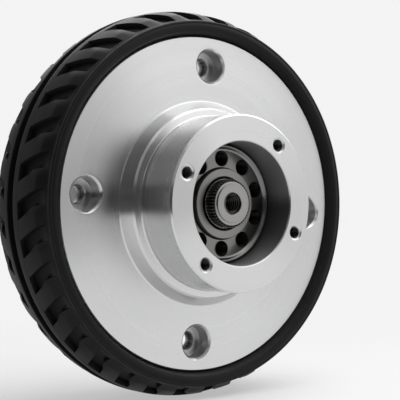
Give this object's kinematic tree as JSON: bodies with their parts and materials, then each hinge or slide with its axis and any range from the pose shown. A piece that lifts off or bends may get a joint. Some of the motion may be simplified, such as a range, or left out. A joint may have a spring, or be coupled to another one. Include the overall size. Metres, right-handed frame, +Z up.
{
  "type": "robot hub drive wheel",
  "caption": "Rubber-tyred drive wheel with a turned aluminium hub around a fixed flange and a serrated input shaft; planetary reduction inside the hub.",
  "frame": {"origin": "on the wheel's axis, in the face of the fixed ten-hole flange that bolts to the robot", "axes": "+Y along the axle from the robot toward the outside of the wheel, +Z up, +X completes the right-handed frame"},
  "size_m": [0.15, 0.074, 0.15],
  "materials": {
    "tread_rubber": "matt moulded rubber",
    "turned_aluminium": "satin, fine turning marks",
    "cover_aluminium": "satin, turned",
    "dark_flange": "black-oxide steel, satin",
    "bright_steel": "brushed ring",
    "shaft_steel": "ground, serrations rolled",
    "gear_steel": "hardened, ground flanks",
    "bearing_steel": "ground",
    "spring_steel": "phosphated",
    "black_screw": "black oxide",
    "bronze": "sintered bronze",
    "seal_rubber": "matt",
    "cage_plastic": "glass-filled nylon"
  },
  "bodies": {
    "spindle": {"spindle": "dark_flange", "hub_seal": "seal_rubber", "seal_carrier": "bright_steel", "input_seal": "seal_rubber", "front_bush": "bronze", "rear_bush": "bronze", "front_inner_ring": "bearing_steel", "rear_inner_ring": "bearing_steel", "bearing_shim": "bearing_steel", "planet_carrier": "gear_steel", "carrier_screws": "black_screw", "planet_pins": "gear_steel", "thrust_washers": "bronze", "pin_circlips": "spring_steel"},
    "wheel": {"wheel_hub": "turned_aluminium", "tyre": "tread_rubber", "ring_gear": "gear_steel", "ring_dowels": "gear_steel", "rear_cover": "cover_aluminium", "cover_oring": "seal_rubber", "cover_screws": "black_screw", "front_outer_ring": "bearing_steel", "rear_outer_ring": "bearing_steel", "hub_circlip": "spring_steel"},
    "input": {"input_shaft": "shaft_steel", "shaft_circlip": "spring_steel"},
    "ball_cages": {"front_cage": "cage_plastic", "rear_cage": "cage_plastic", "front_balls": "bearing_steel", "rear_balls": "bearing_steel"},
    "planet_1": {"planet_gear_1": "gear_steel", "planet_bush_1": "bronze"},
    "planet_2": {"planet_gear_2": "gear_steel", "planet_bush_2": "bronze"},
    "planet_3": {"planet_gear_3": "gear_steel", "planet_bush_3": "bronze"}
  },
  "joints": [
    {"name": "wheel_spin", "type": "hinge", "parent": "spindle", "child": "wheel", "pos_m": [0, 0.028, 0], "axis": [0, 1, 0], "continuous": true},
    {"name": "input_spin", "type": "hinge", "parent": "spindle", "child": "input", "pos_m": [0, 0, 0], "axis": [0, 1, 0], "continuous": true},
    {"name": "cage_spin", "type": "hinge", "parent": "spindle", "child": "ball_cages", "pos_m": [0, 0.02, 0], "axis": [0, 1, 0], "continuous": true},
    {"name": "planet_1_spin", "type": "hinge", "parent": "spindle", "child": "planet_1", "pos_m": [0, 0.0445, 0.021], "axis": [0, 1, 0], "continuous": true},
    {"name": "planet_2_spin", "type": "hinge", "parent": "spindle", "child": "planet_2", "pos_m": [-0.01819, 0.0445, -0.0105], "axis": [0, 1, 0], "continuous": true},
    {"name": "planet_3_spin", "type": "hinge", "parent": "spindle", "child": "planet_3", "pos_m": [0.01819, 0.0445, -0.0105], "axis": [0, 1, 0], "continuous": true}
  ],
  "couplings": [
    {"joint": "input_spin", "follows": "wheel_spin", "ratio": -4.6},
    {"joint": "cage_spin", "follows": "wheel_spin", "ratio": 0.56222},
    {"joint": "planet_1_spin", "follows": "wheel_spin", "ratio": 2.5556},
    {"joint": "planet_2_spin", "follows": "wheel_spin", "ratio": 2.5556},
    {"joint": "planet_3_spin", "follows": "wheel_spin", "ratio": 2.5556}
  ]
}
